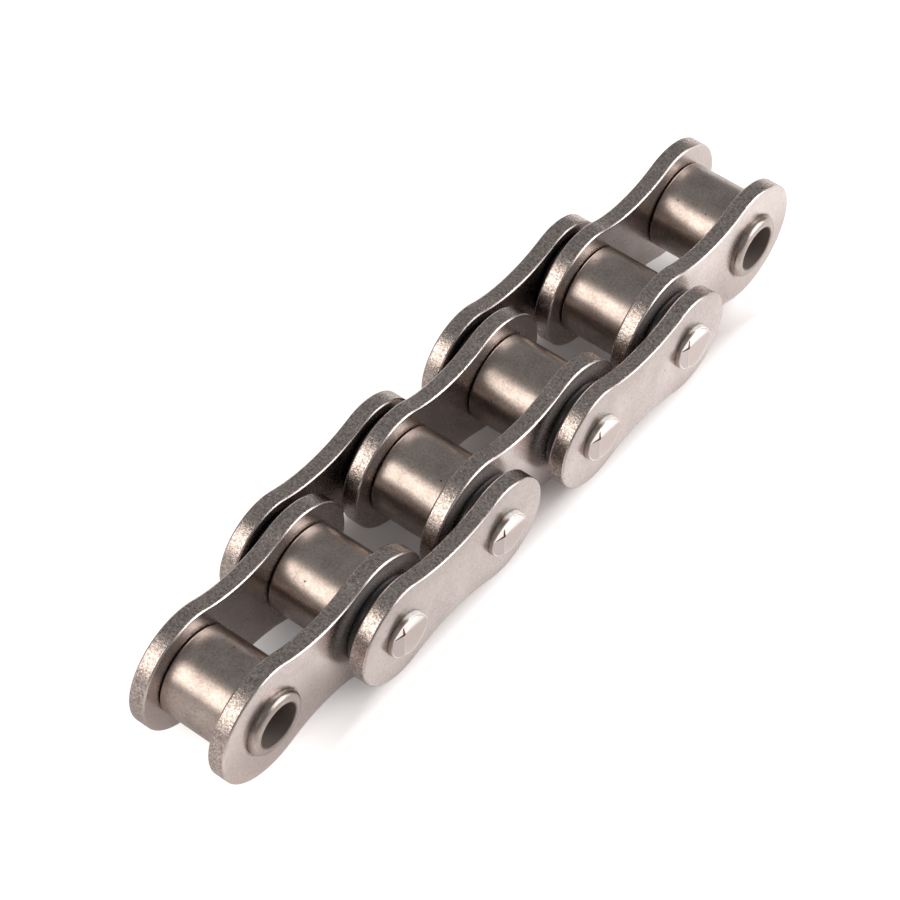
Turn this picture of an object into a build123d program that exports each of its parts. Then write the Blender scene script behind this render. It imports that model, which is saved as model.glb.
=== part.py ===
from build123d import *
from math import atan2, degrees, hypot
import os

# Five links of a sealed roller chain, in millimetres. X runs along the chain, Y along the pins,
# Z up. The chain lies straight on the lower edges of its inner plates, at z = 0, and the origin
# is under its middle. Links and pin axes are numbered from the -X end, front is the -Y side.

# Driving sizes of the chain
pitch = 19.05               # from one pin axis to the next
links = 5                   # inner and outer links in turn, an inner link at each end
inner_width = 9.53          # clear width between the two plates of an inner link

# Inner plates
inner_plate_t = 2.3         # thickness
inner_end_r = 8.5           # radius of the round ends
inner_waist = 13.4          # height across the waist

# Outer plates, lower than the inner ones, so that they hang clear of the ground
outer_plate_t = 2.3
outer_end_r = 7.35
outer_waist = 11.4
edge_break = 0.2            # broken edge round every plate

# Seals
seal_gap = 1.6              # gap between an inner and an outer plate
ring_section = 1.75         # from the ring's bore to its outside
ring_ease = 0.45            # eased corners of the squeezed ring
ring_play = 0.05            # from the squeezed ring to each plate
ring_grip = 0.03            # from the ring to the bushing that it sits on

# Bushings
bushing_d = 8.7
bushing_stand = 1.05        # how far a bushing stands out of its plate
bushing_round = 0.7         # rounding of the outer rim at the chain's open ends
bushing_bevel = 0.5         # bevel of the same rim where a seal ring hides it
bushing_mouth = 0.15        # bevel at the mouth of the bore

# Rollers
roller_d = 11.91
roller_bevel = 0.3          # bevel of the roller's ends
roller_play = 0.06          # radial, on the bushing
roller_end_play = 0.1       # to the plate at each end

# Pins
pin_d = 5.95
pin_play = 0.055            # radial, in the bushing
pin_stand = 1.1             # how far a staked end stands out of its plate
head_flats = 5.1            # across the flats of a staked end, a square on its corner
head_reach = 0.3            # how far the square's corners reach out beyond the shank
mark_flats = 4.7            # across the flats of the square punch mark, at the pin's end
mark_floor = 0.15           # across the small flat at the bottom of the mark
mark_depth = 0.62

# Places that follow from the sizes above
axis_z = inner_end_r
axes = range(1, links + 2)
joined_axes = range(2, links + 1)
inner_face = inner_width / 2
inner_back = inner_face + inner_plate_t
outer_face = inner_back + seal_gap
outer_back = outer_face + outer_plate_t
pin_end = outer_back + pin_stand
bushing_end = inner_back + bushing_stand
bore_r = pin_d / 2 + pin_play
sides = (("front", -1), ("back", 1))


def axis_x(number):
    """X of a pin axis, counted from the -X end."""
    return (number - (links + 2) / 2) * pitch


def across(x, y, toward=-1):
    """Sketch plane square to the pins, its normal pointing to -Y or +Y, its own Y axis upright."""
    return Plane(origin=(x, y, axis_z), x_dir=(-toward, 0, 0), z_dir=(0, toward, 0))


def save(piece, name):
    """Label a finished piece and write it to its own file."""
    piece.part.label = name
    export_step(piece.part, f"parts/{name}.step")


def link_plate(x, y, thickness, end_r, waist, hole_d):
    """Waisted plate round two pin axes: two end arcs that run tangent into two waist arcs."""
    half = pitch / 2
    low = waist / 2
    waist_r = (half**2 + low**2 - end_r**2) / (2 * (end_r - low))
    waist_y = low + waist_r
    reach = hypot(half, waist_y)
    tx, ty = half - end_r * half / reach, end_r * waist_y / reach
    with BuildPart() as plate:
        with BuildSketch(across(x, y)):
            with BuildLine():
                ThreePointArc((tx, -ty), (half + end_r, 0), (tx, ty))
                ThreePointArc((tx, ty), (0, low), (-tx, ty))
                ThreePointArc((-tx, ty), (-half - end_r, 0), (-tx, -ty))
                ThreePointArc((-tx, -ty), (0, -low), (tx, -ty))
            make_face()
            with Locations((-half, 0), (half, 0)):
                Circle(hole_d / 2, mode=Mode.SUBTRACT)
        extrude(amount=thickness / 2, both=True)
        flats = plate.faces().filter_by(Axis.Y)
        chamfer([edge for flat in flats for edge in flat.outer_wire().edges()], edge_break)
    return plate


os.makedirs("parts", exist_ok=True)

# Plates. Link n spans the axes n and n + 1, and the odd links are the inner ones.
for n in range(1, links + 1):
    middle = (axis_x(n) + axis_x(n + 1)) / 2
    for side, s in sides:
        if n % 2:
            inner_plate = link_plate(
                middle, s * (inner_face + inner_plate_t / 2), inner_plate_t, inner_end_r,
                inner_waist, bushing_d)
            save(inner_plate, f"inner_plate_{n}_{side}")
        else:
            outer_plate = link_plate(
                middle, s * (outer_face + outer_plate_t / 2), outer_plate_t, outer_end_r,
                outer_waist, pin_d)
            save(outer_plate, f"outer_plate_{n}_{side}")

# Every axis has a bushing, pressed into the two inner plates, and a roller that turns on it.
for n in axes:
    with BuildPart() as bushing:
        with BuildSketch(across(axis_x(n), 0)):
            Circle(bushing_d / 2)
            Circle(bore_r, mode=Mode.SUBTRACT)
        extrude(amount=bushing_end, both=True)
        rims = bushing.edges().filter_by(GeomType.CIRCLE).sort_by(SortBy.RADIUS)
        if n in joined_axes:
            chamfer(rims[-2:], bushing_bevel)
        else:
            fillet(rims[-2:], bushing_round)
        chamfer(rims[:2], bushing_mouth)
    save(bushing, f"bushing_{n}")

    with BuildPart() as roller:
        with BuildSketch(across(axis_x(n), 0)):
            Circle(roller_d / 2)
            Circle(bushing_d / 2 + roller_play, mode=Mode.SUBTRACT)
        extrude(amount=inner_face - roller_end_play, both=True)
        rims = roller.edges().filter_by(GeomType.CIRCLE).sort_by(SortBy.RADIUS)
        chamfer(rims[-2:], roller_bevel)
    save(roller, f"roller_{n}")

# Pins, pressed into the outer plates. Each end is staked with a square punch: the end flares out
# to four corners, is squeezed flat between them, and carries a mark of four slopes.
head_flare = degrees(atan2(head_reach, pin_stand))
flat_lean = degrees(atan2((pin_d - head_flats) / 2, pin_stand))
mark_slope = degrees(atan2((mark_flats - mark_floor) / 2, mark_depth))
for n in joined_axes:
    with BuildPart() as pin:
        with BuildSketch(across(axis_x(n), 0)):
            Circle(pin_d / 2)
        extrude(amount=outer_back, both=True)
        for side, s in sides:
            with BuildPart(mode=Mode.PRIVATE) as head:
                with BuildSketch(across(axis_x(n), s * outer_back, s)):
                    Circle(pin_d / 2)
                extrude(amount=pin_stand, taper=-head_flare)
                with BuildSketch(across(axis_x(n), s * pin_end, -s)):
                    Rectangle(head_flats, head_flats, rotation=45)
                extrude(amount=pin_stand, taper=-flat_lean, mode=Mode.INTERSECT)
                with BuildSketch(across(axis_x(n), s * pin_end, -s)):
                    Rectangle(mark_flats, mark_flats, rotation=45)
                extrude(amount=mark_depth, taper=mark_slope, mode=Mode.SUBTRACT)
            add(head.part)
    save(pin, f"pin_{n}")

# Seal rings round the bushings, squeezed between the plates until both faces are flat.
ring_width = seal_gap - 2 * ring_play
ring_inner_r = bushing_d / 2 + ring_grip
for n in joined_axes:
    for side, s in sides:
        with BuildPart() as seal:
            with BuildSketch(Plane.XY.offset(axis_z)) as seal_profile:
                with Locations((axis_x(n) + ring_inner_r + ring_section / 2,
                                s * (inner_back + seal_gap / 2))):
                    Rectangle(ring_section, ring_width)
                chamfer(seal_profile.vertices(), ring_ease)
            revolve(axis=Axis((axis_x(n), 0, axis_z), (0, 1, 0)))
        save(seal, f"o_ring_{n}_{side}")
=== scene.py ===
import math

import bmesh
import bpy
from mathutils import Matrix, Vector


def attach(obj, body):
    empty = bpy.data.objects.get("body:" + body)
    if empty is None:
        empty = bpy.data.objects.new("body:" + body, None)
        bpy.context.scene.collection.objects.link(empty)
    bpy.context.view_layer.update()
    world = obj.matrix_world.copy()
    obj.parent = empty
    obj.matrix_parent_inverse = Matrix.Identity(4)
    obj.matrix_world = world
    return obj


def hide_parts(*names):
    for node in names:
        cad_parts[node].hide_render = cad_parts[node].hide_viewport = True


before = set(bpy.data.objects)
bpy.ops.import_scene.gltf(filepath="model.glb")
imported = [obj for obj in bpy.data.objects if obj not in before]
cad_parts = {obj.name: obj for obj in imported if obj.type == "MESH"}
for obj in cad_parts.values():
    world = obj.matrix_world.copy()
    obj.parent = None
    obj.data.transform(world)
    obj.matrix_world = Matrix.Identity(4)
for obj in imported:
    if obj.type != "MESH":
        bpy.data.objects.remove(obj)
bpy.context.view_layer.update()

# A short length of sealed roller chain, lying straight along X on the lower edges of its inner
# plates. Sizes are in metres and repeat the CAD's driving sizes.
MM = 0.001
PITCH = 19.05 * MM
LINKS = 5
INNER_LINKS = (1, 3, 5)
OUTER_LINKS = (2, 4)
AXES = range(1, LINKS + 2)
PLATE_T = 2.3 * MM
INNER_END_R = 8.5 * MM          # round ends of the inner plates, on which the chain lies
INNER_WAIST = 13.4 * MM         # height across the waist
OUTER_END_R = 7.35 * MM
OUTER_WAIST = 11.4 * MM
PLATE_ROUNDING = 0.25 * MM      # tumbled edges of the plates
HOLE_ROUNDING = 0.08 * MM
BUSHING_R = 4.35 * MM
BUSHING_ROUNDING = 0.7 * MM
BORE_R = 3.03 * MM              # bore of the bushings
BORE_ROUNDING = 0.15 * MM
PIN_R = 2.975 * MM
ROLLER_R = 5.955 * MM
ROLLER_PLAY = 0.06 * MM         # radial, on the bushing
ROLLER_END_PLAY = 0.1 * MM      # to the plate at each end
ROLLER_ROUNDING = 0.3 * MM
ROLLER_BORE_ROUNDING = 0.12 * MM
SEAL_R = BUSHING_R + 1.78 * MM
SEAL_BORE_R = BUSHING_R + 0.03 * MM
SEAL_WIDTH = 1.5 * MM           # squeezed between an inner and an outer plate
SEAL_ROUNDING = 0.7 * MM
SEAL_GAP = 1.6 * MM             # between those two plates
PIN_STAND = 1.1 * MM            # how far a pin stands out of its plate
BUSHING_STAND = 1.05 * MM

# Places: the height of the pin axes over the ground, and distances from the middle plane
AXIS_Z = INNER_END_R
INNER_FACE = 4.765 * MM         # half the clear width between the inner plates
INNER_BACK = INNER_FACE + PLATE_T
OUTER_FACE = INNER_BACK + SEAL_GAP
OUTER_BACK = OUTER_FACE + PLATE_T
PIN_END = OUTER_BACK + PIN_STAND
BUSHING_END = INNER_BACK + BUSHING_STAND

# Sockets of a mix of numbers and of a mix of colours, which only a number tells apart
VALUE_1, VALUE_2 = 2, 3
COLOUR_1, COLOUR_2 = 6, 7


def axis_x(number):
    """X of a pin axis, counted from the -X end."""
    return (number - (LINKS + 2) / 2) * PITCH


def linear(colour):
    """Linear RGBA of an sRGB hex colour."""
    channels = [int(colour[i:i + 2], 16) / 255 for i in (1, 3, 5)]
    return [c / 12.92 if c <= 0.04045 else ((c + 0.055) / 1.055)**2.4 for c in channels] + [1.0]


def add(tree, kind, inputs=None, **settings):
    """Add a node with its settings. Inputs are values, sockets, or nodes for their first output."""
    node = tree.nodes.new(kind)
    for name, value in settings.items():
        setattr(node, name, value)
    for key, value in (inputs or {}).items():
        if isinstance(value, bpy.types.Node):
            value = value.outputs[0]
        if isinstance(value, bpy.types.NodeSocket):
            tree.links.new(value, node.inputs[key])
        else:
            node.inputs[key].default_value = value
    return node


# Shapes by rule

END_POINTS = 97                 # along an end arc of a plate
WAIST_POINTS = 23
HOLE_POINTS = 96                # round a hole in a plate
EDGE_POINTS = 6                 # across the rounding of a plate's edge
RING_POINTS = 128               # round a turned ring
CORNER_POINTS = 7               # across the rounding of a ring's rim
OUTLINE_WELD = 0.005 * MM       # joins the arcs of an outline
FACE_WELD = 0.002 * MM          # joins the faces to the edges round them
TOP = 0.499                     # share of a plate's thickness over which only its face lies
FLAT = 0.99999                  # part of a normal along Y from which a face counts as flat
WALL_STEP = 3                   # how much larger a wall's faces are than a rounding's
PLACING = [("Middle", "Vector"), ("Along", "Int"), ("Along Step", "Float"),
           ("Across", "Int"), ("Across Step", "Float"), ("Material", "Material")]


def new_rule(name, inputs):
    """Empty geometry tree with named inputs, given as (name, kind of socket)."""
    tree = bpy.data.node_groups.new(name, "GeometryNodeTree")
    for socket_name, kind in inputs:
        tree.interface.new_socket(socket_name, in_out="INPUT", socket_type="NodeSocket" + kind)
    tree.interface.new_socket("Geometry", in_out="OUTPUT", socket_type="NodeSocketGeometry")
    return tree, tree.nodes.new("NodeGroupInput").outputs


def lay_out(tree, given, piece):
    """Turn a piece upright, repeat it along the chain and across it, and give it its material."""
    geometry = add(tree, "GeometryNodeTransform", {
        "Geometry": piece, "Rotation": (math.pi / 2, 0, 0)})
    for count, step, middle, axis in (("Across", "Across Step", None, "Y"),
                                      ("Along", "Along Step", given["Middle"], "X")):
        gaps = add(tree, "ShaderNodeMath", {0: given[count], 1: 1.0}, operation="SUBTRACT")
        span = add(tree, "ShaderNodeMath", {0: gaps, 1: given[step]}, operation="MULTIPLY")
        half = add(tree, "ShaderNodeMath", {0: span, 1: -0.5}, operation="MULTIPLY")
        places = add(tree, "GeometryNodeMeshLine", {
            "Count": given[count],
            "Start Location": add(tree, "ShaderNodeCombineXYZ", {axis: half}),
            "Offset": add(tree, "ShaderNodeCombineXYZ", {axis: given[step]})})
        if middle is not None:
            places = add(tree, "GeometryNodeTransform", {
                "Geometry": places, "Translation": middle})
        geometry = add(tree, "GeometryNodeInstanceOnPoints", {
            "Points": places, "Instance": geometry})
    real = add(tree, "GeometryNodeRealizeInstances", {"Geometry": geometry})
    finished = add(tree, "GeometryNodeSetMaterial", {
        "Geometry": real, "Material": given["Material"]})
    add(tree, "NodeGroupOutput", {"Geometry": finished})


def edge_profile(tree, thickness, rounding, outward):
    """Section of a punched edge, outward on a rim and inward in a hole: a flat band with a
    rounding above and below it."""
    flat = add(tree, "ShaderNodeMath", {
        0: add(tree, "ShaderNodeMath", {0: thickness, 1: 0.5}, operation="MULTIPLY"),
        1: rounding}, operation="SUBTRACT")
    band = add(tree, "GeometryNodeCurvePrimitiveLine", {
        "Start": add(tree, "ShaderNodeCombineXYZ", {
            "Y": add(tree, "ShaderNodeMath", {0: flat, 1: -1.0}, operation="MULTIPLY")}),
        "End": add(tree, "ShaderNodeCombineXYZ", {"Y": flat})})
    arc = add(tree, "GeometryNodeCurveArc", {
        "Resolution": EDGE_POINTS, "Radius": rounding, "Start Angle": 0.0,
        "Sweep Angle": math.pi / 2}, mode="RADIUS")
    back = add(tree, "ShaderNodeMath", {0: rounding, 1: -1.0}, operation="MULTIPLY")
    above = add(tree, "GeometryNodeTransform", {
        "Geometry": arc, "Translation": add(tree, "ShaderNodeCombineXYZ", {"X": back, "Y": flat})})
    below = add(tree, "GeometryNodeTransform", {"Geometry": above, "Scale": (1, -1, 1)})
    profile = add(tree, "GeometryNodeJoinGeometry")
    for part in (band, above, below):
        tree.links.new(part.outputs[0], profile.inputs[0])
    return profile if outward else add(tree, "GeometryNodeTransform", {
        "Geometry": profile, "Scale": (-1, 1, 1)})


def plate_rule():
    """Waisted link plate with two holes, its end arcs tangent to its waist arcs and its edges
    rounded."""
    tree, given = new_rule("link_plate", [
        ("Pitch", "Float"), ("End Radius", "Float"), ("Waist", "Float"), ("Thickness", "Float"),
        ("Hole Radius", "Float"), ("Edge Rounding", "Float"), ("Hole Rounding", "Float"),
        *PLACING])
    half = add(tree, "ShaderNodeMath", {0: given["Pitch"], 1: 0.5}, operation="MULTIPLY")
    low = add(tree, "ShaderNodeMath", {0: given["Waist"], 1: 0.5}, operation="MULTIPLY")
    end = given["End Radius"]
    # waist radius = (half^2 + low^2 - end^2) / 2 (end - low)
    squares = add(tree, "ShaderNodeMath", {
        0: half, 1: half,
        2: add(tree, "ShaderNodeMath", {
            0: low, 1: low,
            2: add(tree, "ShaderNodeMath", {
                0: add(tree, "ShaderNodeMath", {0: end, 1: end}, operation="MULTIPLY"),
                1: -1.0}, operation="MULTIPLY")}, operation="MULTIPLY_ADD")},
        operation="MULTIPLY_ADD")
    necking = add(tree, "ShaderNodeMath", {
        0: add(tree, "ShaderNodeMath", {0: end, 1: low}, operation="SUBTRACT"), 1: 2.0},
        operation="MULTIPLY")
    waist_r = add(tree, "ShaderNodeMath", {0: squares, 1: necking}, operation="DIVIDE")
    waist_y = add(tree, "ShaderNodeMath", {0: low, 1: waist_r}, operation="ADD")
    lean = add(tree, "ShaderNodeMath", {0: waist_y, 1: half}, operation="ARCTAN2")
    turn = add(tree, "ShaderNodeMath", {0: math.pi, 1: lean}, operation="SUBTRACT")
    end_arc = add(tree, "GeometryNodeTransform", {
        "Geometry": add(tree, "GeometryNodeCurveArc", {
            "Resolution": END_POINTS, "Radius": end,
            "Start Angle": add(tree, "ShaderNodeMath", {0: turn, 1: -1.0}, operation="MULTIPLY"),
            "Sweep Angle": add(tree, "ShaderNodeMath", {0: turn, 1: 2.0}, operation="MULTIPLY")},
            mode="RADIUS"),
        "Translation": add(tree, "ShaderNodeCombineXYZ", {"X": half})})
    waist_arc = add(tree, "GeometryNodeTransform", {
        "Geometry": add(tree, "GeometryNodeCurveArc", {
            "Resolution": WAIST_POINTS, "Radius": waist_r,
            "Start Angle": add(tree, "ShaderNodeMath", {0: lean, 1: -1.0}, operation="MULTIPLY"),
            "Sweep Angle": add(tree, "ShaderNodeMath", {
                0: lean, 1: 2.0, 2: -math.pi}, operation="MULTIPLY_ADD")},
            mode="RADIUS"),
        "Translation": add(tree, "ShaderNodeCombineXYZ", {"Y": waist_y})})
    arcs = add(tree, "GeometryNodeJoinGeometry")
    for arc in (end_arc, waist_arc):
        tree.links.new(arc.outputs[0], arcs.inputs[0])
        turned = add(tree, "GeometryNodeTransform", {
            "Geometry": arc, "Rotation": (0, 0, math.pi)})
        tree.links.new(turned.outputs[0], arcs.inputs[0])
    wire = add(tree, "GeometryNodeMergeByDistance", {
        "Geometry": add(tree, "GeometryNodeCurveToMesh", {"Curve": arcs}),
        "Distance": OUTLINE_WELD})
    outline = add(tree, "GeometryNodeSetCurveNormal", {
        "Curve": add(tree, "GeometryNodeMeshToCurve", {"Mesh": wire})}, mode="Z_UP")
    rim = add(tree, "GeometryNodeCurveToMesh", {
        "Curve": outline,
        "Profile Curve": edge_profile(tree, given["Thickness"], given["Edge Rounding"], True)})
    hole = add(tree, "GeometryNodeSetCurveNormal", {
        "Curve": add(tree, "GeometryNodeCurvePrimitiveCircle", {
            "Resolution": HOLE_POINTS, "Radius": given["Hole Radius"]}, mode="RADIUS")},
        mode="Z_UP")
    wall = add(tree, "GeometryNodeCurveToMesh", {
        "Curve": hole,
        "Profile Curve": edge_profile(tree, given["Thickness"], given["Hole Rounding"], False)})
    sides = add(tree, "GeometryNodeJoinGeometry", {0: rim})
    for way in (half, add(tree, "ShaderNodeMath", {0: half, 1: -1.0}, operation="MULTIPLY")):
        moved = add(tree, "GeometryNodeTransform", {
            "Geometry": wall, "Translation": add(tree, "ShaderNodeCombineXYZ", {"X": way})})
        tree.links.new(moved.outputs[0], sides.inputs[0])
    sides = add(tree, "GeometryNodeMergeByDistance", {"Geometry": sides, "Distance": FACE_WELD})
    # the flat faces fill the open loops that the rim and the hole walls leave
    height = add(tree, "ShaderNodeSeparateXYZ", {"Vector": add(tree, "GeometryNodeInputPosition")})
    near_top = add(tree, "FunctionNodeCompare", {
        0: height.outputs["Z"],
        1: add(tree, "ShaderNodeMath", {0: given["Thickness"], 1: TOP}, operation="MULTIPLY")},
        data_type="FLOAT", operation="GREATER_THAN")
    single = add(tree, "FunctionNodeCompare", {
        2: add(tree, "GeometryNodeInputMeshEdgeNeighbors"), 3: 1},
        data_type="INT", operation="EQUAL")
    loops = add(tree, "GeometryNodeMeshToCurve", {
        "Mesh": sides,
        "Selection": add(tree, "FunctionNodeBooleanMath", {0: near_top, 1: single})})
    face = add(tree, "GeometryNodeFillCurve", {"Curve": loops}, mode="TRIANGLES")
    whole = add(tree, "GeometryNodeJoinGeometry", {0: sides})
    for way in (0.5, -0.5):
        lifted = add(tree, "GeometryNodeTransform", {
            "Geometry": face, "Translation": add(tree, "ShaderNodeCombineXYZ", {
                "Z": add(tree, "ShaderNodeMath", {
                    0: given["Thickness"], 1: way}, operation="MULTIPLY")})})
        tree.links.new(lifted.outputs[0], whole.inputs[0])
    lay_out(tree, given, add(tree, "GeometryNodeMergeByDistance", {
        "Geometry": whole, "Distance": FACE_WELD}))
    return tree


def ring_rule():
    """Turned ring: a box section with rounded corners, swept round the axis."""
    tree, given = new_rule("turned_ring", [
        ("Outer Radius", "Float"), ("Bore Radius", "Float"), ("Length", "Float"),
        ("Outer Rounding", "Float"), ("Bore Rounding", "Float"), *PLACING])
    wall = add(tree, "ShaderNodeMath", {
        0: given["Outer Radius"], 1: given["Bore Radius"]}, operation="SUBTRACT")
    section = add(tree, "GeometryNodeCurvePrimitiveQuadrilateral", {
        "Width": wall, "Height": given["Length"]}, mode="RECTANGLE")
    side = add(tree, "ShaderNodeSeparateXYZ", {"Vector": add(tree, "GeometryNodeInputPosition")})
    outside = add(tree, "FunctionNodeCompare", {0: side.outputs["X"], 1: 0.0},
                  data_type="FLOAT", operation="GREATER_THAN")
    rounded = add(tree, "GeometryNodeFilletCurve", {
        "Curve": section,
        "Radius": add(tree, "GeometryNodeSwitch", {
            "Switch": outside, "False": given["Bore Rounding"], "True": given["Outer Rounding"]},
            input_type="FLOAT"),
        "Count": CORNER_POINTS}, mode="POLY")
    mean = add(tree, "ShaderNodeMath", {
        0: add(tree, "ShaderNodeMath", {
            0: given["Outer Radius"], 1: given["Bore Radius"]}, operation="ADD"),
        1: 0.5}, operation="MULTIPLY")
    path = add(tree, "GeometryNodeSetCurveNormal", {
        "Curve": add(tree, "GeometryNodeCurvePrimitiveCircle", {
            "Resolution": RING_POINTS, "Radius": mean}, mode="RADIUS")}, mode="Z_UP")
    lay_out(tree, given, add(tree, "GeometryNodeCurveToMesh", {
        "Curve": path, "Profile Curve": rounded}))
    return tree


def shade(piece):
    """Point the faces outward, keep flat faces flat, and end each rounding where a wall begins."""
    mesh = bmesh.new()
    mesh.from_mesh(piece.data)
    bmesh.ops.recalc_face_normals(mesh, faces=mesh.faces)
    for face in mesh.faces:
        face.smooth = abs(face.normal.y) < FLAT
    for edge in mesh.edges:
        areas = sorted(face.calc_area() for face in edge.link_faces)
        edge.smooth = areas[-1] < WALL_STEP * areas[0]
    mesh.to_mesh(piece.data)
    mesh.free()


def make(name, rule, material, **values):
    """Run a rule with its inputs set, and keep the result as a plain mesh."""
    source = bpy.data.objects.new(name + "_rule", bpy.data.meshes.new(name + "_rule"))
    bpy.context.scene.collection.objects.link(source)
    modifier = source.modifiers.new("rule", "NODES")
    modifier.node_group = rule
    values = {"Middle": (0, 0, AXIS_Z), "Along": 1, "Along Step": PITCH, "Across": 1,
              "Across Step": 0.0, "Material": material} | {
                  key.replace("_", " ").title(): value for key, value in values.items()}
    for socket in rule.interface.items_tree:
        if socket.in_out == "INPUT":
            modifier[socket.identifier] = values[socket.name]
    evaluated = source.evaluated_get(bpy.context.evaluated_depsgraph_get())
    piece = bpy.data.objects.new(name, bpy.data.meshes.new_from_object(evaluated))
    piece.data.name = name
    piece.data.materials.clear()
    piece.data.materials.append(material)
    bpy.data.objects.remove(source)
    bpy.context.scene.collection.objects.link(piece)
    shade(piece)
    return piece


def settle(piece, body, nodes):
    """Let a finished piece move with its body and stand for its CAD nodes."""
    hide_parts(*nodes)
    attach(piece, body)


# Staked pins

EAR_REACH = 3.25 * MM           # from the axis to the four ears, up, down and along the chain
SQUARENESS = 1.6                # outline of a struck end: 1 is a square on its corner, 2 a circle
ROOT_R = 3.08 * MM              # swollen shank where it leaves the plate
ROOT_DEPTH = 0.05 * MM          # how deep in the plate the side wall starts
FLARE = 1.4                     # power by which the side wall spreads to the ears
WALL_POINTS = (0.0, 0.3, 0.6, 0.85)     # up the side wall, as shares of its height
LIP = 0.16 * MM                 # rounding between the end and the side wall
LIP_STEPS = 5
MARK_DEPTH = 0.85 * MM
MARK_STEPS = 24                 # from the lip to the middle of the mark
# corners of the punch mark as (x, z) from its deepest point: two towards +X, then one above, one
# towards -X and one below. They lie beyond the outline, so that the mark cuts the rim low, most of
# all above and towards -X.
MARK_CORNERS = [Vector(corner) * MM for corner in (
    (4.7, 0.9), (2.9, 4.1), (-1.5, 5.2), (-6.6, 3.9), (-0.7, -5.5))]
# how softly its slopes meet: in the sharp valleys, in the two soft ones, and at the flat rim
SHARP, SOFT, SOFTEST, RUN_OUT = 0.02 * MM, 0.03 * MM, 0.06 * MM, 0.05 * MM
# its deepest point as (x, z) in mm from each pin axis, wherever the punch happened to strike
MARK_MIDDLES = {2: (-0.3, 0.1), 3: (-0.25, -0.4), 4: (-0.2, -0.1), 5: (-0.5, 0.1)}
VALLEY_SHADE_LENGTH = 2.4 * MM           # of the painted shade in each of the mark's deep valleys, from its middle
VALLEY_SHADE_WIDTH = 0.45 * MM           # of the painted shade at the middle
VALLEY_SHADE_TAPER = 0.67                # share of that width that it loses to its far end
SPOKES = 128                    # points round a pin
CREASE = 0.6                    # angle between two faces, in radians, that makes a sharp edge


def soften(a, b, blend, way):
    """The lesser (way -1) or the greater (way 1) of two heights, rounded where they meet."""
    return (a + b + way * math.hypot(a - b, blend)) / 2


def mark_depth(here):
    """Depth of the punch mark at a point from its middle: slopes that meet in sharp valleys, but
    softly towards +X."""
    slopes = []
    for a, b in zip(MARK_CORNERS, MARK_CORNERS[1:] + MARK_CORNERS[:1]):
        slopes.append(MARK_DEPTH * (b - a).cross(here - a) / (b - a).cross(-a))
    right, upper_right, upper_left, lower_left, lower_right = slopes
    left = soften(upper_left, lower_left, SHARP, -1)
    right = soften(soften(upper_right, right, SOFT, -1), lower_right, SOFTEST, -1)
    return soften(soften(left, right, SHARP, -1), 0, RUN_OUT, 1)


def off_the_valley_shade(here):
    """Distance to the nearer of the mark's two deep valleys, up and towards -X, in half widths of
    the painted shade that lies there."""
    nearest = 2 * here.length / VALLEY_SHADE_WIDTH
    for corner in MARK_CORNERS[2:4]:
        valley = corner.normalized()
        along = here.dot(valley) / VALLEY_SHADE_LENGTH
        if 0 <= along < 1:
            width = VALLEY_SHADE_WIDTH * (1 - VALLEY_SHADE_TAPER * along)
            nearest = min(nearest, 2 * abs(here.cross(valley)) / width)
    return nearest


def end_outline(angle):
    """Radius of a struck end at an angle round the axis."""
    return EAR_REACH * sum(abs(part)**SQUARENESS for part in (
        math.cos(angle), math.sin(angle)))**(-1 / SQUARENESS)


def pin_end_rings(middle):
    """Rings of points from the plate over the lip into the mark, for the end at +Y. The mark's
    middle is an (x, z) from the axis, and so are the points, with their y between."""
    around = []
    for spoke in range(SPOKES):
        angle = 2 * math.pi * spoke / SPOKES
        way = Vector((math.cos(angle), math.sin(angle)))
        reach = end_outline(angle)
        around.append((way, reach, PIN_END - mark_depth(way * (reach - LIP) - middle)))
    root_y = OUTER_BACK - ROOT_DEPTH
    # the hidden shank keeps the pin's own radius
    rings = [[(PIN_R * way.x, root_y, PIN_R * way.y) for way, _, _ in around]]
    for share in WALL_POINTS:
        rings.append([])
        for way, reach, crest in around:
            point = way * (ROOT_R + (reach - ROOT_R) * share**FLARE)
            rings[-1].append((point.x, root_y + (crest - LIP - root_y) * share, point.y))
    for step in range(LIP_STEPS + 1):
        turn = step * math.pi / (2 * LIP_STEPS)
        rings.append([])
        for way, reach, crest in around:
            point = way * (reach - LIP * (1 - math.cos(turn)))
            rings[-1].append((point.x, crest - LIP * (1 - math.sin(turn)), point.y))
    for step in range(1, MARK_STEPS):
        rings.append([])
        for way, reach, _ in around:
            point = middle + (1 - step / MARK_STEPS) * (way * (reach - LIP) - middle)
            rings[-1].append((point.x, PIN_END - mark_depth(point - middle), point.y))
    return rings


def pin_mesh(mesh, number):
    """Add one pin to a mesh, both ends staked, with the distance from the painted valley shade on
    its points.
    """
    off_valley_shade = mesh.verts.layers.float["off_valley_shade"]
    middle = Vector(MARK_MIDDLES[number]) * MM
    x = axis_x(number)
    roots = []
    for side in (-1, 1):
        loops = []
        for ring in pin_end_rings(middle):
            loop = [mesh.verts.new((x + px, side * py, AXIS_Z + pz)) for px, py, pz in ring]
            for vertex, (px, py, pz) in zip(loop, ring):
                vertex[off_valley_shade] = off_the_valley_shade(Vector((px, pz)) - middle)
            loops.append(loop)
        bottom = mesh.verts.new((
            x + middle.x, side * (PIN_END - mark_depth(Vector((0, 0)))), AXIS_Z + middle.y))
        for a, b in zip(loops, loops[1:]):
            for i in range(SPOKES):
                j = (i + 1) % SPOKES
                mesh.faces.new((a[i], a[j], b[j], b[i]))
        for i in range(SPOKES):
            mesh.faces.new((loops[-1][i], loops[-1][(i + 1) % SPOKES], bottom))
        roots.append(loops[0])
    for i in range(SPOKES):
        j = (i + 1) % SPOKES
        mesh.faces.new((roots[0][i], roots[0][j], roots[1][j], roots[1][i]))


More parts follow.
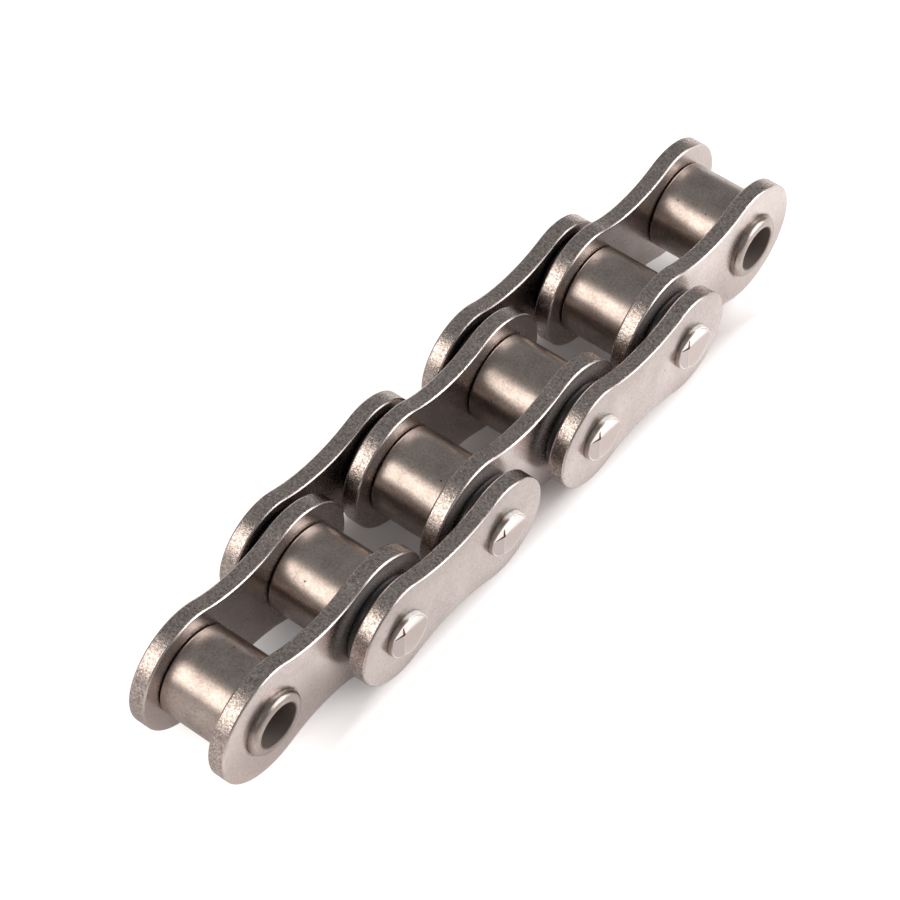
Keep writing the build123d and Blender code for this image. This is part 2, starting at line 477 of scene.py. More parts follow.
def make_pins(name, numbers, material):
    """Staked pins of one outer link, as one mesh."""
    mesh = bmesh.new()
    mesh.verts.layers.float.new("off_valley_shade")
    for number in numbers:
        pin_mesh(mesh, number)
    bmesh.ops.recalc_face_normals(mesh, faces=mesh.faces)
    for face in mesh.faces:
        face.smooth = True
    for edge in mesh.edges:
        if len(edge.link_faces) == 2:
            edge.smooth = edge.calc_face_angle() < CREASE
    piece = bpy.data.objects.new(name, bpy.data.meshes.new(name))
    mesh.to_mesh(piece.data)
    mesh.free()
    piece.data.materials.append(material)
    bpy.context.scene.collection.objects.link(piece)
    return piece


# Finishes

TORN_DARK, TORN_LIGHT = linear("#958A85"), linear("#E6DAD3")
GLINT = linear("#FFFFFF")
# grime, and painted shade round the pressed parts and near the axes
GRIME_AND_SHADE = linear("#2A2422")
# grime and painted contact shade at a pin's root
ROOT_GRIME_AND_SHADE = linear("#2A2320")
BORE_DULL = linear("#877B74")
PIT_BLACK = linear("#1E1816")
# painted light and shade of the mark's lower slopes
SLOPE_PAINTED_LIGHT, SLOPE_PAINTED_SHADE = linear("#D2C8C4"), linear("#A69B97")
# painted highlight, on the mark's upper slopes and on the side wall's lit side
HIGHLIGHT_WHITE = linear("#FFFDFA")
# painted shade of the pin's side wall
WALL_SHADED = linear("#C2B6AE")
# dark brown painted shade in the mark's deep valleys
VALLEY_SHADE_BROWN = linear("#583724")
RUBBER_DARK, RUBBER_LIGHT = linear("#181719"), linear("#333134")
PAPER_WHITE = linear("#F3ECEA")
SEEN_GLOW = 0.85                # strength of the paper's glow for the camera
# painted reflection: glow that the floor shows only in the steel's reflections
MIRRORED_GLOW = (0.16, 0.45)    # in the steel's reflections, at the chain's two ends
FOOT_GLOW = 0.36                # added along its front foot
SHADOW_GLOW = 0.07              # share of the glow that is left under it


def new_finish(name):
    """Empty material, with its tree, its surface shader and the object coordinates."""
    material = bpy.data.materials.new(name)
    material.use_nodes = True
    tree = material.node_tree
    place = add(tree, "ShaderNodeTexCoord").outputs["Object"]
    return material, tree, tree.nodes["Principled BSDF"], place


def facing(tree):
    """The way that a face points, as X, Y and Z, and how square it lies to Y."""
    normal = add(tree, "ShaderNodeSeparateXYZ", {
        0: add(tree, "ShaderNodeTexCoord").outputs["Normal"]})
    square = add(tree, "ShaderNodeMath", {0: normal.outputs["Y"]}, operation="ABSOLUTE")
    return normal.outputs, square


def mingled(tree, first, share, second):
    """One tone of two noises: the first with its share, the second with the rest."""
    parts = [
        add(tree, "ShaderNodeMath", {0: noise.outputs["Fac"], 1: weight}, operation="MULTIPLY")
        for noise, weight in ((first, share), (second, 1 - share))]
    return add(tree, "ShaderNodeMath", {0: parts[0], 1: parts[1]}, operation="ADD")


def specks(tree, place, spacing, size, share, seed):
    """Small marks with ragged outlines: 1 in a mark and 0 elsewhere. They lie in cells as wide as
    the spacing, and the share tells how many of the cells have one."""
    cells = add(tree, "ShaderNodeTexVoronoi", {
        "Vector": add(tree, "ShaderNodeVectorMath", {0: place, 1: (seed, seed, seed)},
                      operation="ADD"),
        "Scale": 1 / spacing, "Randomness": 1.0})
    pick = add(tree, "ShaderNodeSeparateXYZ", {0: cells.outputs["Color"]})
    chosen = add(tree, "ShaderNodeMath", {0: pick.outputs["X"], 1: share}, operation="LESS_THAN")
    ragged = add(tree, "ShaderNodeTexNoise", {
        "Vector": place, "Scale": 1 / (0.6 * size), "Detail": 1.0})
    radius = add(tree, "ShaderNodeMapRange", {
        "Value": ragged.outputs["Fac"], "From Min": 0.3, "From Max": 0.7,
        "To Min": 0.2 * size / spacing, "To Max": 0.9 * size / spacing})
    inside = add(tree, "ShaderNodeMapRange", {
        "Value": cells.outputs["Distance"], "From Min": radius,
        "From Max": add(tree, "ShaderNodeMath", {0: radius, 1: 0.6}, operation="MULTIPLY"),
        "To Min": 0.0, "To Max": 1.0})
    return add(tree, "ShaderNodeMath", {0: inside, 1: chosen}, operation="MULTIPLY")


def near_axis(tree, place, inner, outer):
    """1 within the inner radius of the nearest pin axis, falling to 0 at the outer radius."""
    along = add(tree, "ShaderNodeSeparateXYZ", {0: place})
    radius = add(tree, "ShaderNodeVectorMath", {
        0: add(tree, "ShaderNodeCombineXYZ", {
            "X": add(tree, "ShaderNodeMath", {
                0: add(tree, "ShaderNodeMath", {0: along.outputs["X"], 1: axis_x(0)},
                       operation="SUBTRACT"),
                1: PITCH / 2}, operation="PINGPONG"),
            "Z": add(tree, "ShaderNodeMath", {0: along.outputs["Z"], 1: AXIS_Z},
                     operation="SUBTRACT")})}, operation="LENGTH")
    return add(tree, "ShaderNodeMapRange", {
        "Value": radius.outputs["Value"], "From Min": inner, "From Max": outer,
        "To Min": 1.0, "To Max": 0.0}, interpolation_type="SMOOTHSTEP")


def blanked_steel(name, face_dark, face_light, hole_radius, grime_and_shade, grease_and_shade_reach, seed):
    """Carbon steel strip, blanked to shape and tumbled: smooth satin faces with a faint cloudy
    tone, polished roundings, and rough punched edges, dark with bright torn grains, where chips and
    scratches run across the thickness. Grime and painted contact shade sit in a ring round the
    pressed parts, a thin dark film of grease and painted shade lies near each axis, and grease
    dulls the steel beside the seals."""
    material, tree, surface, place = new_finish(name)
    square = facing(tree)[1]
    shifted = add(tree, "ShaderNodeVectorMath", {0: place, 1: (seed, seed, seed)},
                  operation="ADD")
    band = add(tree, "ShaderNodeMapRange", {
        "Value": square, "From Min": 0.12, "From Max": 0.4, "To Min": 1.0, "To Max": 0.0},
        interpolation_type="SMOOTHSTEP")
    cloud = add(tree, "ShaderNodeTexNoise", {
        "Vector": shifted, "Scale": 1 / (5 * MM), "Detail": 4.0, "Roughness": 0.6})
    grain = add(tree, "ShaderNodeTexNoise", {
        "Vector": shifted, "Scale": 1 / (0.4 * MM), "Detail": 3.0, "Roughness": 0.6})
    # faces: clouds of light and dark, with a fine grain
    tone = mingled(tree, cloud, 0.6, grain)
    face_colour = add(tree, "ShaderNodeMix", {
        0: add(tree, "ShaderNodeMapRange", {
            "Value": tone, "From Min": 0.38, "From Max": 0.62}),
        COLOUR_1: linear(face_dark), COLOUR_2: linear(face_light)}, data_type="RGBA")
    # punched edges: grains of torn metal with chips and glints, and scratches along Y
    scratch = add(tree, "ShaderNodeTexNoise", {
        "Vector": add(tree, "ShaderNodeMapping", {
            "Vector": shifted, "Scale": (1 / (0.16 * MM), 1 / (1.2 * MM), 1 / (0.16 * MM))}),
        "Scale": 1.0, "Detail": 3.0, "Roughness": 0.6, "Distortion": 0.4})
    torn = add(tree, "ShaderNodeTexNoise", {
        "Vector": shifted, "Scale": 1 / (0.3 * MM), "Detail": 5.0, "Roughness": 0.7,
        "Distortion": 0.15})
    chips = specks(tree, shifted, spacing=0.55 * MM, size=0.2 * MM, share=0.35, seed=0.1)
    glints = add(tree, "ShaderNodeMath", {
        0: specks(tree, shifted, spacing=0.6 * MM, size=0.17 * MM, share=0.3, seed=0.6),
        1: add(tree, "ShaderNodeMapRange", {
            "Value": cloud.outputs["Fac"], "From Min": 0.48, "From Max": 0.56})},
        operation="MULTIPLY")
    rough = mingled(tree, scratch, 0.2, torn)
    edge_colour = add(tree, "ShaderNodeMix", {
        0: add(tree, "ShaderNodeMapRange", {
            "Value": rough, "From Min": 0.4, "From Max": 0.62}),
        COLOUR_1: TORN_DARK, COLOUR_2: TORN_LIGHT}, data_type="RGBA")
    colour = add(tree, "ShaderNodeMix", {
        0: band, COLOUR_1: face_colour.outputs[2], COLOUR_2: edge_colour.outputs[2]},
        data_type="RGBA")
    # grime and painted contact shade in a ring round each pressed part, a thin dark film of grease
    # and painted shade near each axis, and dirt specks in patches
    ring = add(tree, "ShaderNodeMath", {
        0: near_axis(tree, place, hole_radius + 0.1 * MM, hole_radius + 0.5 * MM),
        1: add(tree, "ShaderNodeMapRange", {
            "Value": torn.outputs["Fac"], "From Min": 0.35, "From Max": 0.6,
            "To Min": 0.25 * grime_and_shade, "To Max": grime_and_shade})}, operation="MULTIPLY")
    greased_and_shaded = near_axis(tree, place, 0.75 * grease_and_shade_reach, grease_and_shade_reach)
    shade_film = add(tree, "ShaderNodeMath", {
        0: greased_and_shaded, 1: add(tree, "ShaderNodeMapRange", {
            "Value": cloud.outputs["Fac"], "From Min": 0.35, "From Max": 0.65,
            "To Min": 0.03, "To Max": 0.13})}, operation="MULTIPLY")
    # thicker grease dulls the steel, but only beside the seals
    where = add(tree, "ShaderNodeSeparateXYZ", {0: place})
    sealed_axes = add(tree, "ShaderNodeMath", {
        0: where.outputs["X"], 1: 0.0, 2: 2 * PITCH}, operation="COMPARE")
    outer_face = add(tree, "ShaderNodeMath", {
        0: add(tree, "ShaderNodeMath", {0: where.outputs["Y"]}, operation="ABSOLUTE"),
        1: INNER_BACK, 2: PLATE_T / 2}, operation="COMPARE")
    thick = add(tree, "ShaderNodeMath", {
        0: greased_and_shaded,
        1: add(tree, "ShaderNodeMath", {0: sealed_axes, 1: outer_face}, operation="MULTIPLY")},
        operation="MULTIPLY")
    tree.links.new(add(tree, "ShaderNodeMapRange", {
        "Value": add(tree, "ShaderNodeMix", {0: band, VALUE_1: thick, VALUE_2: 0.0}),
        "To Min": 1.0, "To Max": 0.7}).outputs[0], surface.inputs["Metallic"])
    dirt = add(tree, "ShaderNodeMath", {
        0: specks(tree, shifted, spacing=0.8 * MM, size=0.2 * MM, share=0.5, seed=0.3),
        1: add(tree, "ShaderNodeMapRange", {
            "Value": cloud.outputs["Fac"], "From Min": 0.5, "From Max": 0.57})},
        operation="MULTIPLY")
    soiled_and_shaded = add(tree, "ShaderNodeMath", {
        0: add(tree, "ShaderNodeMath", {0: ring, 1: shade_film}, operation="MAXIMUM"),
        1: dirt}, operation="MAXIMUM")
    soiled_and_shaded_colour = add(tree, "ShaderNodeMix", {
        0: add(tree, "ShaderNodeMath", {0: soiled_and_shaded, 1: 0.85}, operation="MULTIPLY"),
        COLOUR_1: colour.outputs[2], COLOUR_2: GRIME_AND_SHADE}, data_type="RGBA")
    bright = add(tree, "ShaderNodeMix", {
        0: add(tree, "ShaderNodeMath", {0: glints, 1: band}, operation="MULTIPLY"),
        COLOUR_1: soiled_and_shaded_colour.outputs[2], COLOUR_2: GLINT}, data_type="RGBA")
    tree.links.new(bright.outputs[2], surface.inputs["Base Color"])
    face_rough = add(tree, "ShaderNodeMapRange", {
        "Value": tone, "From Min": 0.35, "From Max": 0.65, "To Min": 0.3, "To Max": 0.22})
    edge_rough = add(tree, "ShaderNodeMapRange", {
        "Value": rough, "From Min": 0.38, "From Max": 0.62, "To Min": 0.3, "To Max": 0.16})
    tree.links.new(add(tree, "ShaderNodeMix", {
        0: band, VALUE_1: face_rough, VALUE_2: edge_rough}).outputs[0],
        surface.inputs["Roughness"])
    height = add(tree, "ShaderNodeMix", {
        0: band,
        VALUE_1: add(tree, "ShaderNodeMath", {
            0: grain.outputs["Fac"], 1: 0.12}, operation="MULTIPLY"),
        VALUE_2: add(tree, "ShaderNodeMath", {
            0: rough, 1: 4.0, 2: add(tree, "ShaderNodeMath", {
                0: chips, 1: glints}, operation="SUBTRACT")}, operation="MULTIPLY_ADD")})
    bump = add(tree, "ShaderNodeBump", {
        "Height": height.outputs[0], "Strength": 1.0, "Distance": 0.012 * MM})
    tree.links.new(bump.outputs[0], surface.inputs["Normal"])
    return material


def turned_steel(name, dark, light, roughness, seed):
    """Case-hardened steel, turned and tumbled: a warm satin tone with a fine grain, faint rings
    round the axis and a few black pits, but dull in a bushing's bore."""
    material, tree, surface, place = new_finish(name)
    shifted = add(tree, "ShaderNodeVectorMath", {0: place, 1: (seed, seed, seed)},
                  operation="ADD")
    rings = add(tree, "ShaderNodeTexNoise", {
        "Vector": add(tree, "ShaderNodeMapping", {
            "Vector": shifted, "Scale": (1 / (2.5 * MM), 1 / (0.25 * MM), 1 / (2.5 * MM))}),
        "Scale": 1.0, "Detail": 2.0, "Roughness": 0.5})
    grain = add(tree, "ShaderNodeTexNoise", {
        "Vector": shifted, "Scale": 1 / (0.3 * MM), "Detail": 4.0, "Roughness": 0.65})
    cloud = add(tree, "ShaderNodeTexNoise", {
        "Vector": shifted, "Scale": 1 / (3 * MM), "Detail": 3.0, "Roughness": 0.55})
    tone = mingled(tree, cloud, 0.4, grain)
    colour = add(tree, "ShaderNodeMix", {
        0: add(tree, "ShaderNodeMapRange", {
            "Value": tone, "From Min": 0.36, "From Max": 0.64}),
        COLOUR_1: linear(dark), COLOUR_2: linear(light)}, data_type="RGBA")
    bore = near_axis(tree, place, BORE_R + 0.1 * MM, BORE_R + 0.3 * MM)
    outside = add(tree, "ShaderNodeMath", {0: 1.0, 1: bore}, operation="SUBTRACT")
    pits = add(tree, "ShaderNodeMath", {
        0: specks(tree, shifted, spacing=1.6 * MM, size=0.24 * MM, share=0.2, seed=0.7),
        1: outside}, operation="MULTIPLY")
    dulled = add(tree, "ShaderNodeMix", {
        0: bore, COLOUR_1: colour.outputs[2], COLOUR_2: BORE_DULL}, data_type="RGBA")
    pitted = add(tree, "ShaderNodeMix", {
        0: add(tree, "ShaderNodeMath", {0: pits, 1: 0.9}, operation="MULTIPLY"),
        COLOUR_1: dulled.outputs[2], COLOUR_2: PIT_BLACK}, data_type="RGBA")
    tree.links.new(pitted.outputs[2], surface.inputs["Base Color"])
    tree.links.new(add(tree, "ShaderNodeMapRange", {
        "Value": bore, "To Min": 1.0, "To Max": 0.35}).outputs[0], surface.inputs["Metallic"])
    tree.links.new(add(tree, "ShaderNodeMix", {
        0: bore, VALUE_2: 0.5, VALUE_1: add(tree, "ShaderNodeMapRange", {
            "Value": tone, "From Min": 0.3, "From Max": 0.7,
            "To Min": roughness + 0.04, "To Max": roughness - 0.03})}).outputs[0],
        surface.inputs["Roughness"])
    texture = add(tree, "ShaderNodeMath", {
        0: add(tree, "ShaderNodeMath", {
            0: rings.outputs["Fac"], 1: 0.4, 2: grain.outputs["Fac"]},
            operation="MULTIPLY_ADD"),
        1: outside}, operation="MULTIPLY")
    bump = add(tree, "ShaderNodeBump", {
        "Height": add(tree, "ShaderNodeMath", {0: texture, 1: pits}, operation="SUBTRACT"),
        "Strength": 1.0, "Distance": 0.008 * MM})
    tree.links.new(bump.outputs[0], surface.inputs["Normal"])
    return material


def staked_steel():
    """Bright drawn pin steel, struck with a polished punch: nearly mirror slopes with painted light
    on them, white on the upper slopes, and on the lower ones darker where they point towards +X;
    dark brown painted shade in the mark's deep valleys; a side wall with painted light, lighter on
    its upper and +X sides and darker towards -X and below; and grime with painted contact shade at
    its root."""
    material, tree, surface, place = new_finish("staked_pin_steel")
    slope, square = facing(tree)
    grain = add(tree, "ShaderNodeTexNoise", {
        "Vector": place, "Scale": 1 / (0.5 * MM), "Detail": 4.0, "Roughness": 0.6})
    struck = add(tree, "ShaderNodeMapRange", {
        "Value": square, "From Min": 0.88, "From Max": 0.93}, interpolation_type="SMOOTHSTEP")
    # painted highlight: the mark's upper slopes, the ones that point down, are white
    upper = add(tree, "ShaderNodeMath", {
        0: slope["Z"], 1: -22.0, 2: -1.4}, operation="MULTIPLY_ADD", use_clamp=True)
    # painted shade: the lower slopes are darker where they point towards +X
    lower_colour = add(tree, "ShaderNodeMix", {
        0: add(tree, "ShaderNodeMapRange", {
            "Value": slope["X"], "From Min": 0.03, "From Max": 0.12}),
        COLOUR_1: SLOPE_PAINTED_LIGHT, COLOUR_2: SLOPE_PAINTED_SHADE}, data_type="RGBA")
    mark_colour = add(tree, "ShaderNodeMix", {
        0: upper, COLOUR_1: lower_colour.outputs[2], COLOUR_2: HIGHLIGHT_WHITE},
        data_type="RGBA")
    # painted light on the side wall: lighter where it points up and towards +X, darker where it
    # points down or towards -X, and less metallic where it is lighter
    painted_lit_side = add(tree, "ShaderNodeMath", {
        0: add(tree, "ShaderNodeMath", {
            0: slope["X"], 1: 3.5, 2: 0.7}, operation="MULTIPLY_ADD", use_clamp=True),
        1: add(tree, "ShaderNodeMapRange", {
            "Value": slope["Z"], "From Min": -0.3, "From Max": 0.2})},
        operation="MULTIPLY")
    wall_colour = add(tree, "ShaderNodeMix", {
        0: painted_lit_side, COLOUR_1: WALL_SHADED, COLOUR_2: HIGHLIGHT_WHITE}, data_type="RGBA")
    end_colour = add(tree, "ShaderNodeMix", {
        0: struck, COLOUR_1: wall_colour.outputs[2], COLOUR_2: mark_colour.outputs[2]},
        data_type="RGBA")
    # painted shade in the mark's deep valleys, dark brown
    valley_shade = add(tree, "ShaderNodeMapRange", {
        "Value": add(tree, "ShaderNodeAttribute", attribute_name="off_valley_shade").outputs["Fac"],
        "From Min": 0.6, "From Max": 1.2, "To Min": 1.0, "To Max": 0.0},
        interpolation_type="SMOOTHSTEP")
    across = add(tree, "ShaderNodeMath", {
        0: add(tree, "ShaderNodeSeparateXYZ", {0: place}).outputs["Y"]}, operation="ABSOLUTE")
    # grime and painted contact shade where the side wall meets the plate
    root_shade = add(tree, "ShaderNodeMapRange", {
        "Value": add(tree, "ShaderNodeMath", {
            0: grain.outputs["Fac"], 1: -0.4 * MM, 2: across}, operation="MULTIPLY_ADD"),
        "From Min": OUTER_BACK - 0.15 * MM, "From Max": OUTER_BACK + 0.05 * MM,
        "To Min": 0.5, "To Max": 0.0})
    shade_film = add(tree, "ShaderNodeMath", {0: valley_shade, 1: struck}, operation="MULTIPLY")
    valley_shaded = add(tree, "ShaderNodeMix", {
        0: shade_film, COLOUR_1: end_colour.outputs[2], COLOUR_2: VALLEY_SHADE_BROWN},
        data_type="RGBA")
    root_shaded = add(tree, "ShaderNodeMix", {
        0: root_shade, COLOUR_1: valley_shaded.outputs[2], COLOUR_2: ROOT_GRIME_AND_SHADE}, data_type="RGBA")
    tree.links.new(root_shaded.outputs[2], surface.inputs["Base Color"])
    # painted shade in the valleys: it hides the bare metal and takes its mirror away
    bare = add(tree, "ShaderNodeMath", {0: 1.0, 1: shade_film}, operation="SUBTRACT")
    tree.links.new(add(tree, "ShaderNodeMix", {
        0: struck, VALUE_2: bare, VALUE_1: add(tree, "ShaderNodeMapRange", {
            "Value": painted_lit_side, "To Min": 1.0, "To Max": 0.3})}).outputs[0],
        surface.inputs["Metallic"])
    tree.links.new(add(tree, "ShaderNodeMath", {
        0: bare, 1: 0.5}, operation="MULTIPLY").outputs[0],
        surface.inputs["Specular IOR Level"])
    roughness = add(tree, "ShaderNodeMix", {
        0: struck, VALUE_1: 0.36, VALUE_2: add(tree, "ShaderNodeMapRange", {
            "Value": grain.outputs["Fac"], "From Min": 0.3, "From Max": 0.7,
            "To Min": 0.08, "To Max": 0.16})})
    tree.links.new(roughness.outputs[0], surface.inputs["Roughness"])
    bump = add(tree, "ShaderNodeBump", {
        "Height": grain.outputs["Fac"], "Strength": 1.0, "Distance": 0.004 * MM})
    tree.links.new(bump.outputs[0], surface.inputs["Normal"])
    return material


def greased_rubber():
    """Moulded nitrile rubber under a thin film of grease: black, with a soft grey gloss."""
    material, tree, surface, place = new_finish("greased_rubber")
    smear = add(tree, "ShaderNodeTexNoise", {
        "Vector": place, "Scale": 1 / (0.9 * MM), "Detail": 4.0, "Roughness": 0.6})
    colour = add(tree, "ShaderNodeMix", {
        0: smear.outputs["Fac"], COLOUR_1: RUBBER_DARK, COLOUR_2: RUBBER_LIGHT},
        data_type="RGBA")
    tree.links.new(colour.outputs[2], surface.inputs["Base Color"])
    tree.links.new(add(tree, "ShaderNodeMapRange", {
        "Value": smear.outputs["Fac"], "From Min": 0.3, "From Max": 0.7,
        "To Min": 0.25, "To Max": 0.5}).outputs[0], surface.inputs["Roughness"])
    surface.inputs["Coat Weight"].default_value = 0.25
    surface.inputs["Coat Roughness"].default_value = 0.2
    bump = add(tree, "ShaderNodeBump", {
        "Height": smear.outputs["Fac"], "Strength": 1.0, "Distance": 0.012 * MM})
    tree.links.new(bump.outputs[0], surface.inputs["Normal"])
    return material


def paper_with_painted_glow():
    """Matt white paper with painted light. It glows for the camera and, as painted reflection, in
    the steel's reflections, brighter towards +X and at the chain's foot. The glow fades near the
    chain, which paints the edge of its shadow, and hardly any is left under it, where the lamps'
    shadow shows."""
    material, tree, surface, place = new_finish("paper_with_painted_glow")
    surface.inputs["Base Color"].default_value = PAPER_WHITE
    surface.inputs["Roughness"].default_value = 1.0
    surface.inputs["Specular IOR Level"].default_value = 0.0
    ray = add(tree, "ShaderNodeLightPath")
    where = add(tree, "ShaderNodeSeparateXYZ", {0: place})
    # painted shadow: the glow grows with the distance from the chain, across it and towards its two
    # ends, so the floor darkens round the chain by position
    aside = add(tree, "ShaderNodeMath", {0: where.outputs["Y"]}, operation="ABSOLUTE")
    left = add(tree, "ShaderNodeMath", {0: where.outputs["X"], 1: -1.0}, operation="MULTIPLY")
    glows = []
    for distance, shadow_end, full in (
            (aside, 7.5 * MM, 14 * MM), (left, 22 * MM, 58 * MM),
            (where.outputs["X"], 34 * MM, 56 * MM)):
        glows.append(add(tree, "ShaderNodeMapRange", {
            "Value": distance, "From Min": shadow_end, "From Max": full},
            interpolation_type="SMOOTHSTEP"))
    glow = add(tree, "ShaderNodeMath", {
        0: add(tree, "ShaderNodeMath", {0: glows[0], 1: glows[1]}, operation="MAXIMUM"),
        1: add(tree, "ShaderNodeMath", {0: glows[2], 1: SHADOW_GLOW}, operation="MAXIMUM")},
        operation="MAXIMUM")
    # painted reflection: the steel mirrors a bright strip along the chain's front foot, and more
    # glow towards +X, which the floor shows only in reflections
    foot = add(tree, "ShaderNodeMath", {
        0: add(tree, "ShaderNodeMapRange", {
            "Value": where.outputs["Y"], "From Min": -11 * MM, "From Max": -12.5 * MM,
            "To Min": 0.0, "To Max": FOOT_GLOW}, interpolation_type="SMOOTHSTEP"),
        1: add(tree, "ShaderNodeMapRange", {
            "Value": where.outputs["Y"], "From Min": -21 * MM, "From Max": -15 * MM},
            interpolation_type="SMOOTHSTEP")}, operation="MULTIPLY")
    rising = add(tree, "ShaderNodeMapRange", {
        "Value": where.outputs["X"], "From Min": -60 * MM, "From Max": 60 * MM,
        "To Min": MIRRORED_GLOW[0], "To Max": MIRRORED_GLOW[1]})
    mirrored = add(tree, "ShaderNodeMath", {
        0: ray.outputs["Is Glossy Ray"],
        1: add(tree, "ShaderNodeMath", {0: foot, 1: rising}, operation="ADD")},
        operation="MULTIPLY")
    seen = add(tree, "ShaderNodeMath", {
        0: ray.outputs["Is Camera Ray"], 1: SEEN_GLOW, 2: mirrored}, operation="MULTIPLY_ADD")
    lift = add(tree, "ShaderNodeEmission", {
        "Color": (1, 1, 1, 1),
        "Strength": add(tree, "ShaderNodeMath", {0: seen, 1: glow}, operation="MULTIPLY")})
    both = add(tree, "ShaderNodeAddShader", {0: surface, 1: lift})
    tree.links.new(both.outputs[0], tree.nodes["Material Output"].inputs["Surface"])
    return material


inner_steel = blanked_steel(
    "blanked_inner_plate_steel", face_dark="#CBC0BB", face_light="#DBD0CC",
    hole_radius=BUSHING_R, grime_and_shade=0.8, grease_and_shade_reach=9.5 * MM, seed=0.0)
outer_steel = blanked_steel(
    "blanked_outer_plate_steel", face_dark="#B6ABA6", face_light="#C3B9B4",
    hole_radius=PIN_R, grime_and_shade=0.5, grease_and_shade_reach=4.5 * MM, seed=0.5)
roller_steel = turned_steel(
    "turned_roller_steel", dark="#A0948D", light="#CBBFB8", roughness=0.3, seed=0.0)
bushing_steel = turned_steel(
    "turned_bushing_steel", dark="#9D918A", light="#BAAFA8", roughness=0.29, seed=0.4)
pin_steel = staked_steel()
seal_rubber = greased_rubber()

# The chain

plate = plate_rule()
ring = ring_rule()
for n in INNER_LINKS:
    middle = ((axis_x(n) + axis_x(n + 1)) / 2, 0, AXIS_Z)
    plates = make(
        f"inner_plates_{n}", plate, inner_steel, middle=middle, pitch=PITCH,
        end_radius=INNER_END_R, waist=INNER_WAIST, thickness=PLATE_T, hole_radius=BUSHING_R,
        edge_rounding=PLATE_ROUNDING, hole_rounding=HOLE_ROUNDING,
        across=2, across_step=INNER_FACE + INNER_BACK)
    settle(plates, f"inner_link_{n}",
           [f"inner_plate_{n}_front", f"inner_plate_{n}_back"])
    bushings = make(
        f"bushings_{n}", ring, bushing_steel, middle=middle, along=2,
        outer_radius=BUSHING_R, bore_radius=BORE_R, length=2 * BUSHING_END,
        outer_rounding=BUSHING_ROUNDING, bore_rounding=BORE_ROUNDING)
    settle(bushings, f"inner_link_{n}", [f"bushing_{n}", f"bushing_{n + 1}"])
    sealed = [axis for axis in (n, n + 1) if 1 < axis < LINKS + 1]
    seals = make(
        f"seal_rings_{n}", ring, seal_rubber,
        middle=(sum(map(axis_x, sealed)) / len(sealed), 0, AXIS_Z), along=len(sealed),
        outer_radius=SEAL_R, bore_radius=SEAL_BORE_R, length=SEAL_WIDTH,
        outer_rounding=SEAL_ROUNDING, bore_rounding=SEAL_ROUNDING,
        across=2, across_step=INNER_BACK + OUTER_FACE)
    settle(seals, f"inner_link_{n}",
           [f"o_ring_{axis}_{side}" for axis in sealed for side in ("front", "back")])

for n in OUTER_LINKS:
    plates = make(
        f"outer_plates_{n}", plate, outer_steel,
        middle=((axis_x(n) + axis_x(n + 1)) / 2, 0, AXIS_Z), pitch=PITCH,
        end_radius=OUTER_END_R, waist=OUTER_WAIST, thickness=PLATE_T, hole_radius=PIN_R,
        edge_rounding=PLATE_ROUNDING, hole_rounding=HOLE_ROUNDING,
        across=2, across_step=OUTER_FACE + OUTER_BACK)
    settle(plates, f"outer_link_{n}",
           [f"outer_plate_{n}_front", f"outer_plate_{n}_back"])
    pins = make_pins(f"staked_pins_{n}", (n, n + 1), pin_steel)
    settle(pins, f"outer_link_{n}", [f"pin_{n}", f"pin_{n + 1}"])

for n in AXES:
    roller = make(
        f"turned_roller_{n}", ring, roller_steel, middle=(axis_x(n), 0, AXIS_Z),
        outer_radius=ROLLER_R, bore_radius=BUSHING_R + ROLLER_PLAY,
        length=2 * (INNER_FACE - ROLLER_END_PLAY), outer_rounding=ROLLER_ROUNDING,
        bore_rounding=ROLLER_BORE_ROUNDING)
    settle(roller, f"roller_{n}", [f"roller_{n}"])

# Ground, light and camera

GROUND_REACH = 2.0              # metres from the middle
AMBIENT = 0.27                  # strength of the light from all sides

ground = bpy.data.objects.new("ground", bpy.data.meshes.new("ground"))
ground.data.from_pydata(
    [(x * GROUND_REACH, y * GROUND_REACH, 0) for x, y in ((-1, -1), (1, -1), (1, 1), (-1, 1))],
    [], [(0, 1, 2, 3)])
bpy.context.scene.collection.objects.link(ground)
ground.data.materials.append(paper_with_painted_glow())

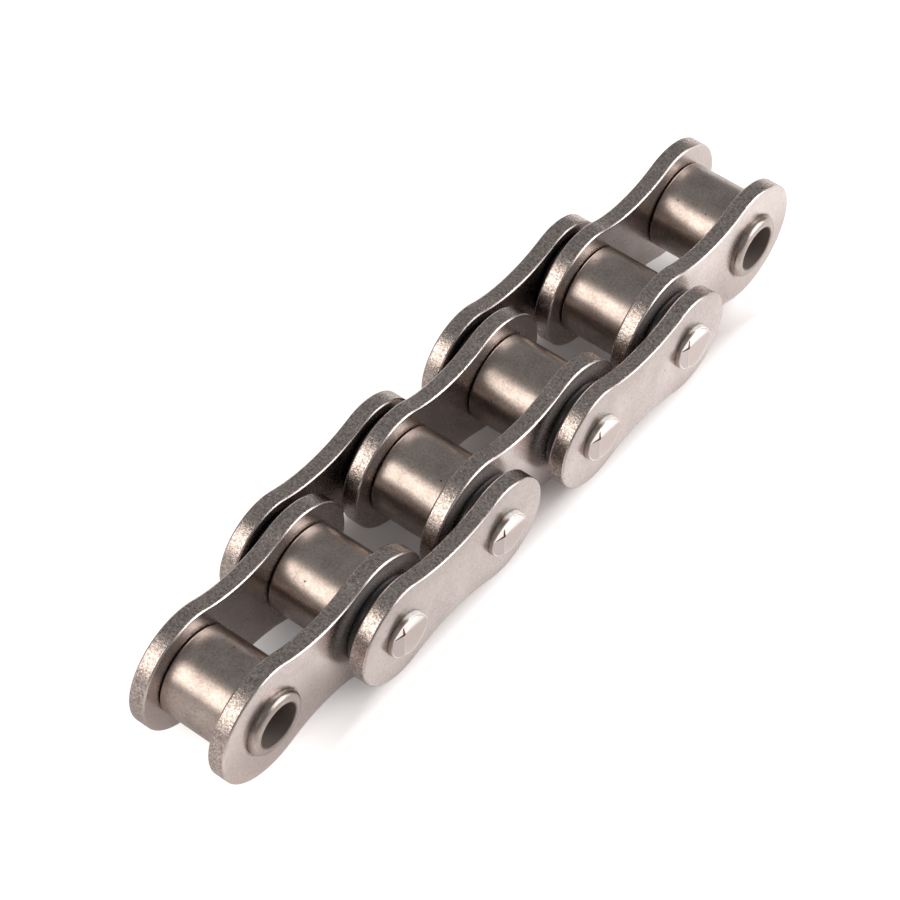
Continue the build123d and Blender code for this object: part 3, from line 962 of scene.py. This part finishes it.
world = bpy.data.worlds.new("studio")
bpy.context.scene.world = world
world.use_nodes = True
world.node_tree.nodes["Background"].inputs["Color"].default_value = linear("#FFFFFF")
world.node_tree.nodes["Background"].inputs["Strength"].default_value = AMBIENT


def softbox(name, direction, distance, size, power, colour):
    """Square lamp that faces the chain."""
    lamp = bpy.data.lights.new(name, "AREA")
    lamp.shape = "RECTANGLE"
    lamp.size, lamp.size_y = size
    lamp.energy = power
    lamp.color = linear(colour)[:3]
    box = bpy.data.objects.new(name, lamp)
    away = Vector(direction).normalized()
    box.location = away * distance
    box.rotation_euler = away.to_track_quat("Z", "Y").to_euler()
    bpy.context.scene.collection.objects.link(box)


softbox("key_softbox", direction=(-0.74, 0.39, 0.54), distance=1.1, size=(0.74, 0.71),
        power=4.2, colour="#FFF5EC")
softbox("fill_softbox", direction=(0.52, -0.72, 0.45), distance=0.45, size=(0.42, 0.42),
        power=1.7, colour="#FFFFFF")

# Camera, from a least-squares fit to the outlines of the plates, rollers and bores
AZIMUTH, ELEVATION, ROLL = math.radians(-53.2139), math.radians(50.2183), math.radians(1.6250)
DISTANCE, TARGET = 394.3197 * MM, Vector((1.8839, 5.9357, 0.2767)) * MM
FOCAL_PIXELS, IMAGE = 3164.0319, 900    # focal length and width of the photo, in its pixels
SENSOR = 36                     # mm
NEAR, FAR = 0.01, 10            # metres, what the camera shows
back = Vector((math.sin(AZIMUTH) * math.cos(ELEVATION), -math.cos(AZIMUTH) * math.cos(ELEVATION),
               math.sin(ELEVATION)))
right = Vector((math.cos(AZIMUTH), math.sin(AZIMUTH), 0))
up = back.cross(right)
right, up = (right * math.cos(ROLL) + up * math.sin(ROLL),
             up * math.cos(ROLL) - right * math.sin(ROLL))
lens = bpy.data.cameras.new("camera")
lens.sensor_width = SENSOR
lens.lens = FOCAL_PIXELS / IMAGE * SENSOR
lens.clip_start, lens.clip_end = NEAR, FAR
camera = bpy.data.objects.new("camera", lens)
camera.matrix_world = Matrix.Translation(TARGET + back * DISTANCE) @ Matrix(
    (right, up, back)).transposed().to_4x4()
bpy.context.scene.collection.objects.link(camera)
bpy.context.scene.camera = camera
bpy.context.scene.view_settings.view_transform = "Standard"
